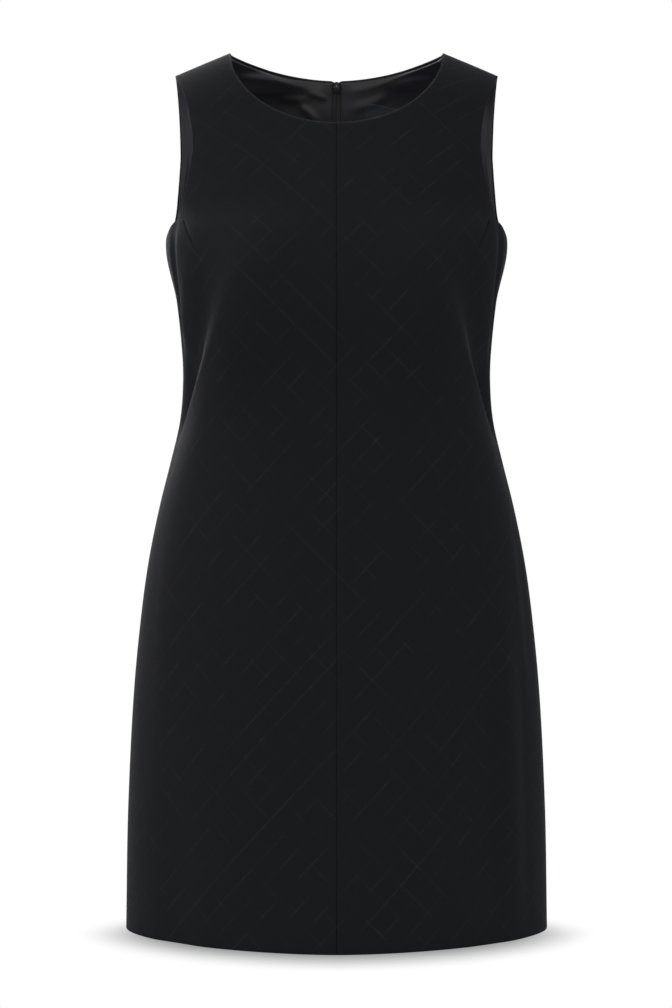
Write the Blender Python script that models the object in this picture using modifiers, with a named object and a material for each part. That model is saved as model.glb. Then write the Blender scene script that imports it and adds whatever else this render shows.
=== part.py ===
"""A sleeveless shift dress, as worn and hollow, at its real size.

Frame: metres, +Z up.  The front faces -Y and the wearer's left is at +X.  The origin lies midway between
the shoulders, level with the high shoulder points, where the wearer carries the dress.

The shape is a stack of rings, each half of which runs from the centre of the front or back to the side
seam.  A ring is named by its level, its height at the neck's width.  Near the shoulders it dips outwards
with the shoulder seam, so that the ring at level 0 is the shoulder seam itself.  A place on the dress is
its level and how far across the half ring it lies, from 0 at the centre to 1 at the side seam.
"""
import math
from collections import namedtuple

import bpy
import numpy as np

# Cloth and the gaps between its layers
GAP = 0.0003
LAYER_GAP = 0.0006
CLOTH = 0.0015
TAPE_CLOTH = 0.0007
LINING_CLOTH = 0.0010
LABEL_CLOTH = 0.0007

# Neck, shoulders and armholes
NECK_HALF_WIDTH = 0.1106
FRONT_NECK_DROP = 0.0844
BACK_NECK_DROP = 0.0156
FRONT_NECK_POWER = 1.0
BACK_NECK_POWER = 2.4
SHOULDER_HALF_WIDTH = 0.169
SHOULDER_SLOPE = 0.41
SHOULDER_ROUNDING = 0.060
UNDERARM = -0.198
ARMHOLE_POWER = 1.9
ARMHOLE_BOWL = 2.4
HEM = -0.918

# Zip and label
ZIP_END = -0.520
ZIP_TOP_SLIT = 0.0010
ZIP_SLIT_FULL = 0.011
ZIP_SLIT_END = 0.022
TAPE_HALF_WIDTH = 0.013
CHAIN_HALF_WIDTH = 0.0021
CHAIN_THICKNESS = 0.0014
CHAIN_STOP = 0.004
LINING_FROM_ZIP = 0.0046
LINING_EDGE = 0.002
LINING_HEM = -0.878
SLIDER_BELOW_NECK = 0.0060
SLIDER_SIZE = (0.0064, 0.0032, 0.0086)
BRIDGE_THICKNESS = 0.0013
BRIDGE_RADIUS = 0.0021
BRIDGE_HOLE = 0.00115
PIN_OFF_FORM = 0.0036
PULL_LENGTH = 0.021
PULL_THICKNESS = 0.0012
PULL_TOP_HALF_WIDTH = 0.0019
PULL_END_HALF_WIDTH = 0.0031
PULL_BAR = 0.0011
PULL_WINDOW_HALF_WIDTH = 0.0010
PULL_WINDOW_LENGTH = 0.0040
LABEL_NEAR = 0.0306
LABEL_FAR = 0.0677
LABEL_TOP = -0.041
LABEL_HEIGHT = 0.024

# Grid steps of the panels: columns from the centre out, rows up from the hem
FRONT_COLUMNS = (11, 7)
BACK_COLUMNS = (8, 5)
SKIRT_ROWS = 22
SKIRT_GRADING = 0.35
FAN_ROWS = 12
RING_STEPS = 48

FRONT = "front"
BACK = "back"
RIGHT = -1
LEFT = 1

# Half sizes of the dress outside, and how square each half ring is: 2 is an ellipse
Ring = namedtuple("Ring", "level half_width front_depth back_depth front_square back_square")
RINGS = [
    Ring(-0.918, 0.2210, 0.139, 0.135, 1.70, 1.80),
    Ring(-0.784, 0.2186, 0.138, 0.133, 1.75, 1.85),
    Ring(-0.616, 0.2080, 0.132, 0.128, 1.85, 1.90),
    Ring(-0.532, 0.1971, 0.125, 0.121, 1.95, 2.00),
    Ring(-0.469, 0.1842, 0.118, 0.111, 2.05, 2.10),
    Ring(-0.427, 0.1737, 0.113, 0.102, 2.15, 2.15),
    Ring(-0.385, 0.1643, 0.110, 0.093, 2.30, 2.20),
    Ring(-0.343, 0.1612, 0.111, 0.089, 2.50, 2.30),
    Ring(-0.265, 0.1665, 0.119, 0.093, 2.75, 2.50),
    Ring(-0.198, 0.1787, 0.108, 0.097, 2.40, 2.60),
    Ring(-0.172, 0.1745, 0.100, 0.097, 2.30, 2.65),
    Ring(-0.140, 0.1735, 0.089, 0.094, 2.50, 2.70),
    Ring(-0.105, 0.1735, 0.077, 0.086, 2.85, 2.70),
    Ring(-0.050, 0.1755, 0.063, 0.068, 2.90, 2.60),
    Ring(0.000, 0.1785, 0.055, 0.057, 2.80, 2.60),
]

# The narrowest part of each armhole: its height and how far out it lies
Armhole = namedtuple("Armhole", "height half_width")
ARMHOLES = {FRONT: Armhole(-0.110, 0.1472), BACK: Armhole(-0.104, 0.1655)}

# Folds are soft troughs in the cloth, and ridges where the depth is negative.  Each runs from its top to
# its low end, bowed sideways; inner and outer are how far it reaches towards the centre and the side.
Fold = namedtuple("Fold", "name face side top_across top_level low_across low_level bow inner outer depth")
BOTH = 0
FOLDS = [
    Fold("bust_point", FRONT, BOTH, 0.40, -0.205, 0.42, -0.330, 0.000, 0.060, 0.050, -0.008),
    Fold("below_bust", FRONT, BOTH, 0.66, -0.212, 0.90, -0.460, -0.010, 0.042, 0.060, 0.015),
    Fold("left_skirt_ridge", FRONT, LEFT, 0.72, -0.560, 0.72, -1.040, 0.000, 0.030, 0.026, -0.006),
    Fold("left_skirt_hollow", FRONT, LEFT, 0.61, -0.560, 0.63, -1.040, 0.000, 0.040, 0.026, 0.004),
    Fold("dart", FRONT, BOTH, 0.970, -0.130, 0.775, -0.240, 0.000, 0.012, 0.018, 0.0050),
    Fold("back_waist", BACK, BOTH, 0.40, -0.230, 0.62, -0.500, 0.012, 0.050, 0.050, 0.007),
    Fold("back_skirt", BACK, BOTH, 0.58, -0.600, 0.66, -1.040, 0.006, 0.040, 0.040, 0.004),
]


def smooth_curve(place, places, values):
    """Values at place on the smooth curve through (places, values), as a cubic between neighbours."""
    places = np.asarray(places)
    values = np.asarray(values)
    slopes = np.gradient(values, places)
    place = np.clip(place, places[0], places[-1])
    after = np.clip(np.searchsorted(places, place), 1, len(places) - 1)
    before = after - 1
    span = places[after] - places[before]
    share = (place - places[before]) / span
    rise = share * share * (3 - 2 * share)
    start_slope = share * (1 - share) ** 2 * span * slopes[before]
    end_slope = share ** 2 * (share - 1) * span * slopes[after]
    return values[before] + rise * (values[after] - values[before]) + start_slope + end_slope


def ring_value(column, level):
    return smooth_curve(level, [ring.level for ring in RINGS], [getattr(ring, column) for ring in RINGS])


def ease(share):
    """0 to 1 with a gentle start and end."""
    share = np.clip(share, 0, 1)
    return share * share * (3 - 2 * share)


def shoulder_tilt(level):
    """How steeply the ring at a level dips outwards."""
    return SHOULDER_SLOPE * (1 - np.clip(level / UNDERARM, 0, 1)) ** 2


def shoulder_cap(level):
    """Rounds the depth to nothing over the shoulder."""
    down = np.clip(-level / SHOULDER_ROUNDING, 0, 1)
    return math.sqrt(1 - (1 - down) ** 2)


def half_ring(face, level):
    """Outward and forward (or backward) distances of a half ring's points, and the length run to each."""
    width = ring_value("half_width", level) - CLOTH
    depth = (ring_value(face + "_depth", level) - CLOTH) * shoulder_cap(level)
    square = ring_value(face + "_square", level)
    turn = np.linspace(0, math.pi / 2, RING_STEPS + 1)
    size = (np.sin(turn) ** square + np.cos(turn) ** square) ** (-1 / square)
    out = width * size * np.sin(turn)
    fore = depth * size * np.cos(turn)
    run = np.concatenate([[0], np.cumsum(np.hypot(np.diff(out), np.diff(fore)))])
    return out, fore, run


def ring_length(face, level):
    return half_ring(face, level)[2][-1]


def across_at(face, level, out):
    """How far across the half ring a point lies that is so far out from the centre."""
    outs, _, run = half_ring(face, level)
    return np.interp(out, outs, run) / run[-1]


def fold_offset(face, side, across, level):
    """How far the folds push the cloth in at a place."""
    length = ring_length(face, level)
    offset = 0.0
    for fold in FOLDS:
        if fold.face != face or fold.side not in (BOTH, side):
            continue
        top = np.array([fold.top_across * ring_length(face, fold.top_level), fold.top_level])
        low = np.array([fold.low_across * ring_length(face, fold.low_level), fold.low_level])
        place = np.array([across * length, level])
        chord = low - top
        reach = np.linalg.norm(chord)
        along = np.dot(place - top, chord) / reach ** 2
        if not 0 < along < 1:
            continue
        outward = np.array([-chord[1], chord[0]]) / reach
        aside = np.dot(place - top, outward) - fold.bow * 4 * along * (1 - along)
        width = fold.outer if aside > 0 else fold.inner
        if abs(aside) < width:
            taper = math.sin(math.pi * along) ** 0.7
            offset += fold.depth * taper * math.cos(math.pi / 2 * aside / width) ** 2
    seam_fade = ease((1 - across) * length / 0.03)
    return offset * seam_fade


def form_point(face, side, across, level):
    """A point of the dress's inner face, folds left out."""
    out, fore, run = half_ring(face, level)
    run_here = across * run[-1]
    out_here = np.interp(run_here, run, out)
    fore_here = max(np.interp(run_here, run, fore), GAP / 2)
    sunk = CLOTH * (1 - np.clip(level / UNDERARM, 0, 1))
    height = level - shoulder_tilt(level) * (out_here - NECK_HALF_WIDTH) - sunk
    return np.array([side * out_here, -fore_here if face == FRONT else fore_here, height])


def surface_point(face, side, across, level, lift=0.0):
    """A point of the dress, moved out from its inner face by lift."""
    step = 0.0008
    nearer = form_point(face, side, max(across - 0.01, 0), level)
    further = form_point(face, side, min(across + 0.01, 1), level)
    above = form_point(face, side, across, min(level + step, 0))
    below = form_point(face, side, across, level - step)
    normal = np.cross(further - nearer, above - below)
    if side * (1 if face == FRONT else -1) < 0:
        normal = -normal
    normal /= np.linalg.norm(normal)
    offset = lift - fold_offset(face, side, across, level)
    return form_point(face, side, across, level) + offset * normal


def level_of(out, height):
    """The level of the ring that passes a place on the neck or armhole edge."""
    level = height
    for _ in range(40):
        level = min(height + shoulder_tilt(level) * (out - NECK_HALF_WIDTH), 0)
    return level


def armhole_across(face, level):
    """Across at the armhole's edge: a curve from the tip in to its narrowest, then a bowl to the underarm."""
    narrowest = ARMHOLES[face]
    low_level = level_of(narrowest.half_width, narrowest.height)
    if level >= low_level:
        share = (level - low_level) / -low_level
        rise = SHOULDER_HALF_WIDTH - narrowest.half_width
        return across_at(face, level, narrowest.half_width + rise * share ** ARMHOLE_POWER)
    outs, fores, _ = half_ring(face, low_level)
    widest = np.interp(narrowest.half_width, outs, fores)
    share = (low_level - level) / (low_level - UNDERARM)
    fore = widest * (1 - share ** ARMHOLE_BOWL) ** (1 / ARMHOLE_BOWL)
    _, fores, run = half_ring(face, level)
    return np.interp(-fore, -fores, run) / run[-1]


def outer_across(face, level):
    """Across at a panel's outer edge: the side seam, and above the underarm the armhole."""
    return 1.0 if level <= UNDERARM else armhole_across(face, level)


def top_edge(face, columns):
    """Across and level of each column's top: round the neck, then along the shoulder seam."""
    neck_columns, shoulder_columns = columns
    drop, power = (FRONT_NECK_DROP, FRONT_NECK_POWER) if face == FRONT else (BACK_NECK_DROP, BACK_NECK_POWER)
    tops = []
    for column in range(neck_columns):
        turn = math.pi / 2 * column / neck_columns
        out = NECK_HALF_WIDTH * math.sin(turn)
        level = level_of(out, -drop * math.cos(turn) ** power)
        tops.append((across_at(face, level, out), level))
    for column in range(shoulder_columns + 1):
        share = column / shoulder_columns
        out = NECK_HALF_WIDTH + share * (SHOULDER_HALF_WIDTH - NECK_HALF_WIDTH)
        tops.append((across_at(face, 0, out), 0.0))
    return tops


def panel_grid(face, columns, low_level, centre_edge, edge_margin=0.0):
    """Rows of (across, level) places of a half panel.

    Skirt rows are level, and closer towards the bust.  Above the underarm each column climbs to its own
    place on the neck or shoulder, and the outer columns bend round the armhole.
    centre_edge(level, top) is how far the panel keeps from the centre line.
    """
    tops = top_edge(face, columns)
    last = len(tops) - 1
    top_level = tops[0][1] - edge_margin
    rows = []

    def edges(level):
        length = ring_length(face, level)
        return centre_edge(level, top_level) / length, outer_across(face, level) - edge_margin / length

    for row in range(SKIRT_ROWS):
        rise = (1 + SKIRT_GRADING) * row / SKIRT_ROWS - SKIRT_GRADING * (row / SKIRT_ROWS) ** 2
        level = low_level + (UNDERARM - low_level) * rise
        start, end = edges(level)
        rows.append([(start + column / last * (end - start), level) for column in range(last + 1)])
    for row in range(FAN_ROWS + 1):
        step = row / FAN_ROWS
        climb = 1 - (1 - 0.25 * step - 0.375 * (1 - math.cos(math.pi * step))) ** 1.25
        line = []
        for column, (across, top) in enumerate(tops):
            share = column / last
            level = UNDERARM + (top - edge_margin - UNDERARM) * climb
            top_start, top_end = edges(top - edge_margin)
            start, end = edges(level)
            top_across = min(max(across, top_start), top_end)
            top_share = (top_across - top_start + (1 - top_end) * share ** 2) / (1 - top_start)
            blend = share + (top_share - share) * ease(climb)
            line.append((start + blend * (1 - start) - (1 - end) * share ** 2, level))
        rows.append(line)
    return rows


def seam_edge(level, top_level):
    return GAP / 2


def zip_edge(level, top_level):
    """The backs meet along the zip and part a little at its top, where the slider's bridge passes."""
    down = top_level - level
    return GAP / 2 + ZIP_TOP_SLIT * ease((ZIP_SLIT_END - down) / (ZIP_SLIT_END - ZIP_SLIT_FULL))


def lining_edge(level, top_level):
    """The lining stops short of the zip's coils and closes below its end."""
    return GAP / 2 + (LINING_FROM_ZIP - GAP / 2) * ease((level - ZIP_END + 0.03) / 0.03)


def material(name, colour, roughness, metallic=0.0):
    """A plain Principled material."""
    made = bpy.data.materials.new(name)
    made.use_nodes = True
    shader = made.node_tree.nodes["Principled BSDF"]
    shader.inputs["Base Color"].default_value = (*colour, 1.0)
    shader.inputs["Roughness"].default_value = roughness
    shader.inputs["Metallic"].default_value = metallic
    return made


def grid_object(name, rows, face_out, thickness, collection, finish):
    """A sheet through rows of points, given its thickness outwards from them."""
    width = len(rows[0])
    points = [tuple(point) for row in rows for point in row]
    faces = []
    for row in range(len(rows) - 1):
        for column in range(width - 1):
            corner = row * width + column
            face = (corner, corner + 1, corner + width + 1, corner + width)
            faces.append(face if face_out else face[::-1])
    mesh = bpy.data.meshes.new(name)
    mesh.from_pydata(points, [], faces)
    mesh.shade_smooth()
    mesh.materials.append(finish)
    made = bpy.data.objects.new(name, mesh)
    collection.objects.link(made)
    wall = made.modifiers.new("wall", "SOLIDIFY")
    wall.thickness = thickness
    wall.offset = 1.0
    return made


def panel(name, face, side, columns, collection, finish, centre_edge):
    """One of the four outer panels."""
    rows = panel_grid(face, columns, HEM, centre_edge)
    points = [[surface_point(face, side, across, level) for across, level in row] for row in rows]
    faces_out = side * (1 if face == FRONT else -1) > 0
    return grid_object(name, points, faces_out, CLOTH, collection, finish)


def lining(name, side, collection, finish):
    """Half of the back lining, behind the tape."""
    rows = panel_grid(BACK, BACK_COLUMNS, LINING_HEM, lining_edge, LINING_EDGE)
    lift = -(GAP + TAPE_CLOTH + LAYER_GAP + LINING_CLOTH)
    points = [[surface_point(BACK, side, across, level, lift) for across, level in row] for row in rows]
    return grid_object(name, points, side == RIGHT, LINING_CLOTH, collection, finish)


def strip(name, outs_at, levels, lift, thickness, collection, finish):
    """A strip inside the back: outs_at(level) gives signed distances from the centre line, levels go up."""
    rows = []
    for level in levels:
        length = ring_length(BACK, level)
        row = []
        for out in outs_at(level):
            side = math.copysign(1, out)
            row.append(surface_point(BACK, side, abs(out) / length, level, lift))
        rows.append(row)
    inside_out = rows[0][0][0] > rows[0][-1][0]
    return grid_object(name, rows, inside_out, thickness, collection, finish)


def centre_levels(low, top):
    """The back panel's row levels at the centre, between two levels."""
    rows = panel_grid(BACK, BACK_COLUMNS, HEM, seam_edge)
    inside = [row[0][1] for row in rows if low + 0.004 < row[0][1] < top - 0.001]
    return [low] + inside + [top]


def flat_outline(name, splines, thickness, collection, finish):
    """A plate: an outline and its holes in a plane, filled and extruded."""
    curve = bpy.data.curves.new(name, "CURVE")
    curve.dimensions = "2D"
    curve.fill_mode = "BOTH"
    curve.extrude = thickness / 2
    for points in splines:
        spline = curve.splines.new("POLY")
        spline.points.add(len(points) - 1)
        for point, (x, y) in zip(spline.points, points):
            point.co = (x, y, 0, 1)
        spline.use_cyclic_u = True
    curve.materials.append(finish)
    made = bpy.data.objects.new(name, curve)
    collection.objects.link(made)
    return made


def curve_to_mesh(made, collection):
    """The same object as a welded mesh."""
    bpy.context.view_layer.update()
    evaluated = made.evaluated_get(bpy.context.evaluated_depsgraph_get())
    mesh = bpy.data.meshes.new_from_object(evaluated)
    solid = bpy.data.objects.new(made.name + "_solid", mesh)
    collection.objects.link(solid)
    solid.parent = made.parent
    solid.matrix_world = made.matrix_world.copy()
    name = made.name
    bpy.data.objects.remove(made)
    solid.name = name
    weld = solid.modifiers.new("weld", "WELD")
    weld.merge_threshold = 0.00001
    return solid


def circle(radius, steps, centre=(0.0, 0.0), start=0.0, end=2 * math.pi):
    """Points of a circle, or of an arc of it, which leaves out the last one."""
    turns = [start + (end - start) * step / steps for step in range(steps)]
    return [(centre[0] + radius * math.cos(turn), centre[1] + radius * math.sin(turn)) for turn in turns]


def slope_back(level, reach, start_lift, end_lift):
    """How far a line down the centre back leans out, between two heights off the inner face."""
    start = surface_point(BACK, LEFT, 0, level, start_lift)
    end = surface_point(BACK, LEFT, 0, level - reach, end_lift)
    return math.atan2(end[1] - start[1], start[2] - end[2])


def zip_pin(collection):
    """An empty on the pull's axis: its Y points out of the cloth there and its Z up along the zip."""
    level = top_edge(BACK, BACK_COLUMNS)[0][1] - SLIDER_BELOW_NECK
    place = surface_point(BACK, LEFT, 0, level, PIN_OFF_FORM)
    pin = bpy.data.objects.new("zip_pin", None)
    pin.location = (0, place[1], place[2])
    pin.rotation_euler = (slope_back(level + SLIDER_SIZE[2] / 2, SLIDER_SIZE[2], 0, 0), 0, 0)
    collection.objects.link(pin)
    return pin


def zip_slider(pin, collection, cutters, finish):
    """The slider's body behind the tapes, and the bridge through the slit that holds the pull."""
    inward = PIN_OFF_FORM + GAP + TAPE_CLOTH + LAYER_GAP + SLIDER_SIZE[1] / 2
    bpy.ops.mesh.primitive_cube_add(size=1)
    body = bpy.context.active_object
    for owner in list(body.users_collection):
        owner.objects.unlink(body)
    collection.objects.link(body)
    body.name = "zip_slider"
    for point in body.data.vertices:
        point.co = [point.co[axis] * SLIDER_SIZE[axis] for axis in range(3)]
    body.data.materials.append(finish)
    body.parent = pin
    body.location = (0, -inward, 0)
    rounding = body.modifiers.new("rounding", "BEVEL")
    rounding.width = 0.0007
    rounding.segments = 2
    arc = circle(BRIDGE_RADIUS, 12, start=-math.pi / 2, end=math.pi / 2)
    outline = arc + [(0, BRIDGE_RADIUS), (-inward, BRIDGE_RADIUS), (-inward, -BRIDGE_RADIUS)]
    hole = circle(BRIDGE_HOLE, 12)
    bridge = flat_outline("bridge", [outline, hole], BRIDGE_THICKNESS, cutters, finish)
    bridge.parent = pin
    bridge.rotation_euler = (math.pi / 2, 0, math.pi / 2)
    bridge = curve_to_mesh(bridge, cutters)
    bridge.hide_render = True
    bridge.display_type = "WIRE"
    join = body.modifiers.new("bridge", "BOOLEAN")
    join.operation = "UNION"
    join.solver = "EXACT"
    join.object = bridge


def zip_pull(pin, collection, finish):
    """The pull: a drop-shaped plate whose top bar turns in the bridge, hanging against the cloth."""
    end_centre = (0, PULL_END_HALF_WIDTH - PULL_LENGTH)
    corner = PULL_BAR / 3
    outline = circle(PULL_END_HALF_WIDTH, 12, end_centre, math.pi, 2 * math.pi)
    outline += [
        (PULL_END_HALF_WIDTH, end_centre[1]),
        (PULL_TOP_HALF_WIDTH, PULL_BAR / 2 - corner),
        (PULL_TOP_HALF_WIDTH - corner, PULL_BAR / 2),
        (corner - PULL_TOP_HALF_WIDTH, PULL_BAR / 2),
        (-PULL_TOP_HALF_WIDTH, PULL_BAR / 2 - corner),
    ]
    window_top = -PULL_BAR / 2
    window_end = window_top - PULL_WINDOW_LENGTH
    window = [
        (-PULL_WINDOW_HALF_WIDTH, window_top),
        (PULL_WINDOW_HALF_WIDTH, window_top),
        (PULL_WINDOW_HALF_WIDTH, window_end),
        (-PULL_WINDOW_HALF_WIDTH, window_end),
    ]
    made = flat_outline("zip_pull", [outline, window], PULL_THICKNESS, collection, finish)
    level = top_edge(BACK, BACK_COLUMNS)[0][1] - SLIDER_BELOW_NECK
    end_lift = CLOTH + GAP + PULL_THICKNESS / 2
    lean = slope_back(level, PULL_LENGTH, PIN_OFF_FORM, end_lift)
    made.parent = pin
    made.rotation_euler = (math.pi / 2 + lean - pin.rotation_euler.x, 0, 0)
    curve_to_mesh(made, collection)


def build():
    """The whole dress, from an empty scene."""
    for old in list(bpy.data.objects):
        bpy.data.objects.remove(old, do_unlink=True)
    dress = bpy.data.collections.new("shift_dress")
    bpy.context.scene.collection.children.link(dress)
    cutters = bpy.data.collections.new("cutters")
    bpy.context.scene.collection.children.link(cutters)

    black = (0.011, 0.011, 0.012)
    for word, side in (("right", RIGHT), ("left", LEFT)):
        cloth = material("cloth_front_" + word, black, 0.9)
        panel("front_" + word, FRONT, side, FRONT_COLUMNS, dress, cloth, seam_edge)
        cloth = material("cloth_back_" + word, black, 0.9)
        panel("back_" + word, BACK, side, BACK_COLUMNS, dress, cloth, zip_edge)
        satin = material("satin_" + word, (0.020, 0.018, 0.026), 0.35)
        lining("lining_back_" + word, side, dress, satin)

    neck_level = top_edge(BACK, BACK_COLUMNS)[0][1]
    tape_top = neck_level - LINING_EDGE
    tape_levels = centre_levels(ZIP_END, tape_top)
    tape_lift = -(GAP + TAPE_CLOTH)
    for word, side in (("right", RIGHT), ("left", LEFT)):
        tape = material("tape_" + word, (0.012, 0.012, 0.014), 0.8)

        def tape_outs(level, side=side):
            return side * zip_edge(level, tape_top), side * TAPE_HALF_WIDTH

        strip("zip_tape_" + word, tape_outs, tape_levels, tape_lift, TAPE_CLOTH, dress, tape)

    slider_low = neck_level - SLIDER_BELOW_NECK - SLIDER_SIZE[2] / 2
    chain_levels = centre_levels(ZIP_END + CHAIN_STOP, slider_low - LAYER_GAP)
    chain_outs = [CHAIN_HALF_WIDTH * share for share in (-1, -1 / 3, 1 / 3, 1)]
    chain_lift = tape_lift - GAP - CHAIN_THICKNESS
    nylon = material("nylon", (0.015, 0.015, 0.017), 0.45)
    strip("zip_chain", lambda level: chain_outs, chain_levels, chain_lift, CHAIN_THICKNESS, dress, nylon)
    pin = zip_pin(dress)
    zip_slider(pin, dress, cutters, material("slider_enamel", (0.012, 0.012, 0.013), 0.3, 0.4))
    zip_pull(pin, dress, material("pull_enamel", (0.012, 0.012, 0.013), 0.3, 0.4))

    label_top = level_of((LABEL_NEAR + LABEL_FAR) / 2, LABEL_TOP)
    label_levels = [label_top - LABEL_HEIGHT * (4 - step) / 4 for step in range(5)]
    label_outs = [LABEL_NEAR + (LABEL_FAR - LABEL_NEAR) * step / 4 for step in range(5)]
    label_lift = tape_lift - LAYER_GAP - LINING_CLOTH - GAP - LABEL_CLOTH
    ribbon = material("ribbon", (0.03, 0.03, 0.032), 0.6)
    strip("label", lambda level: label_outs, label_levels, label_lift, LABEL_CLOTH, dress, ribbon)


build()
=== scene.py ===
# %% [markdown]
# # A shift dress, sewn in Blender
# The dress hangs as if someone wore it: two fronts, two backs joined by a zip, and a satin lining inside the
# back.  A fixed frame of plain solids gives every piece its place, and each cell makes one piece or finish.

# %% Load the fixed frame
import math
from collections import namedtuple

import bmesh
import bpy
import numpy as np
from mathutils import Matrix, Vector
from mathutils.kdtree import KDTree


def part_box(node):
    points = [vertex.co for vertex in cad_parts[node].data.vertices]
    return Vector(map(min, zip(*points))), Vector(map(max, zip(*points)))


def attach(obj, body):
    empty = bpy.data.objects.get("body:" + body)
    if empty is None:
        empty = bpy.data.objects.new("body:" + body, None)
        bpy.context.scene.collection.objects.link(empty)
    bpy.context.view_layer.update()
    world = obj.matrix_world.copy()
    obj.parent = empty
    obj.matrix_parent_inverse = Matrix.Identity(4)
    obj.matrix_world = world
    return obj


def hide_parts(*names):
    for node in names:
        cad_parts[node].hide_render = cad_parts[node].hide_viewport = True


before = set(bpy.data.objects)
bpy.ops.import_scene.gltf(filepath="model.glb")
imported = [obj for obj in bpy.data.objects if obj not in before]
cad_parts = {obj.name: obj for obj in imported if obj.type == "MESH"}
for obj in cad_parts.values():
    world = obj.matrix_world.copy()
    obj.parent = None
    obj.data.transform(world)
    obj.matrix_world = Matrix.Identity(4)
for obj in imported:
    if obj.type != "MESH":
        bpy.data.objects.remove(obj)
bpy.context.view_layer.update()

# %% [markdown]
# ## The sizes
# A maker starts from a few measures, all in metres here.  The hem's height is read from the frame, so the
# cloth ends where the solid does.

# %% Measures of the dress
GAP = 0.0003
CLOTH = 0.0015
LINING_CLOTH = 0.001
NECK_HALF_WIDTH = 0.1106
NECK_DROP = {"front": 0.0844, "back": 0.0156}
NECK_POWER = {"front": 1.0, "back": 2.4}
SHOULDER_HALF_WIDTH = 0.169
SHOULDER_SLOPE = 0.41
SHOULDER_ROUNDING = 0.06
UNDERARM = -0.198
ZIP_END = -0.52
ARMHOLE_POWER = 1.9
ARMHOLE_BOWL = 2.4
HEM = round(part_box("front_left")[0].z, 4)
CHECK_LEVEL = -0.473
RIGHT, LEFT = -1, 1
SIDES = {"right": RIGHT, "left": LEFT}
print("the dress is", -HEM, "m long")

# %% [markdown]
# ## The form
# A simulation could drape the cloth, but this dress barely touches the body, so its shape is known: a stack
# of rings.  A row is one ring: half width, depth to the front and back, and how square each half is.

# %% The rings
Ring = namedtuple("Ring", "level half_width front_depth back_depth front_square back_square")
RINGS = [
    Ring(-0.918, 0.2210, 0.139, 0.135, 1.70, 1.80),
    Ring(-0.784, 0.2186, 0.138, 0.133, 1.75, 1.85),
    Ring(-0.616, 0.2080, 0.132, 0.128, 1.85, 1.90),
    Ring(-0.532, 0.1971, 0.125, 0.121, 1.95, 2.00),
    Ring(-0.469, 0.1842, 0.118, 0.111, 2.05, 2.10),
    Ring(-0.427, 0.1737, 0.113, 0.102, 2.15, 2.15),
    Ring(-0.385, 0.1643, 0.110, 0.093, 2.30, 2.20),
    Ring(-0.343, 0.1612, 0.111, 0.089, 2.50, 2.30),
    Ring(-0.265, 0.1665, 0.119, 0.093, 2.75, 2.50),
    Ring(-0.198, 0.1787, 0.108, 0.097, 2.40, 2.60),
    Ring(-0.172, 0.1745, 0.100, 0.097, 2.30, 2.65),
    Ring(-0.140, 0.1735, 0.089, 0.094, 2.50, 2.70),
    Ring(-0.105, 0.1735, 0.077, 0.086, 2.85, 2.70),
    Ring(-0.050, 0.1755, 0.063, 0.068, 2.90, 2.60),
    Ring(0.000, 0.1785, 0.055, 0.057, 2.80, 2.60),
]
Armhole = namedtuple("Armhole", "height half_width")
ARMHOLES = {"front": Armhole(-0.11, 0.1472), "back": Armhole(-0.104, 0.1655)}


def ease(share):
    """0 to 1 with a gentle start and end."""
    share = np.clip(share, 0, 1)
    return share * share * (3 - 2 * share)


def ring_value(column, level):
    """One measure of the ring at a level, on a smooth curve through the table."""
    levels = np.array([ring.level for ring in RINGS])
    values = np.array([getattr(ring, column) for ring in RINGS])
    slopes = np.gradient(values, levels)
    after = np.clip(np.searchsorted(levels, level), 1, len(levels) - 1)
    before = after - 1
    span = levels[after] - levels[before]
    share = (np.clip(level, levels[0], levels[-1]) - levels[before]) / span
    bend = share * (1 - share) * span * ((1 - share) * slopes[before] - share * slopes[after])
    return values[before] + ease(share) * (values[after] - values[before]) + bend


print("rings:", len(RINGS))

# %% [markdown]
# ## From a place on the dress to a point in space
# A place is its level and how far across the half ring it lies: 0 at the centre, 1 at the side seam.  To work
# out a ring for every point would be slow, so a table holds a thousand rings, and places are looked up in it.

# %% The table of the form
LEVELS = np.linspace(HEM - 0.012, 0, 1181)
SHARES = np.linspace(0, 1, 241)
RING_STEPS = 160


def half_ring(face, level):
    """Outward and forward distances along a half ring, and the length run to each."""
    width = ring_value("half_width", level) - CLOTH
    depth = ring_value(face + "_depth", level) - CLOTH
    square = ring_value(face + "_square", level)
    turn = np.linspace(0, math.pi / 2, RING_STEPS + 1)
    size = (np.sin(turn) ** square + np.cos(turn) ** square) ** (-1 / square)
    out, fore = width * size * np.sin(turn), depth * size * np.cos(turn)
    run = np.concatenate([[0], np.cumsum(np.hypot(np.diff(out), np.diff(fore)))])
    return out, fore, run


def form_table(face):
    """Outward and forward distances at LEVELS and SHARES, and each half ring's length."""
    rows = []
    for level in LEVELS:
        out, fore, run = half_ring(face, level)
        rows.append([np.interp(SHARES * run[-1], run, values) for values in (out, fore, run)])
    outs, fores, runs = np.moveaxis(np.array(rows), 1, 0)
    return outs, fores, runs[:, -1]


FORM = {face: form_table(face) for face in ("front", "back")}


def look_up(table, level, share):
    """A value of the table between its levels and shares."""
    row = np.clip((level - LEVELS[0]) / (LEVELS[1] - LEVELS[0]), 0, len(LEVELS) - 1.001)
    column = np.clip(share * (len(SHARES) - 1), 0, len(SHARES) - 1.001)
    i, j = row.astype(int), column.astype(int)
    up, on = row - i, column - j
    low, high = (table[k, j] * (1 - on) + table[k, j + 1] * on for k in (i, i + 1))
    return low * (1 - up) + high * up


def ring_length(face, level):
    return np.interp(level, LEVELS, FORM[face][2])


def run_along(points):
    """The length run to each point of a line."""
    return np.concatenate([[0], np.cumsum(np.linalg.norm(np.diff(points, axis=0), axis=1))])


def shoulder_tilt(level):
    """How steeply a ring dips towards the shoulder tips."""
    return SHOULDER_SLOPE * (1 - np.clip(level / UNDERARM, 0, 1)) ** 2


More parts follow.
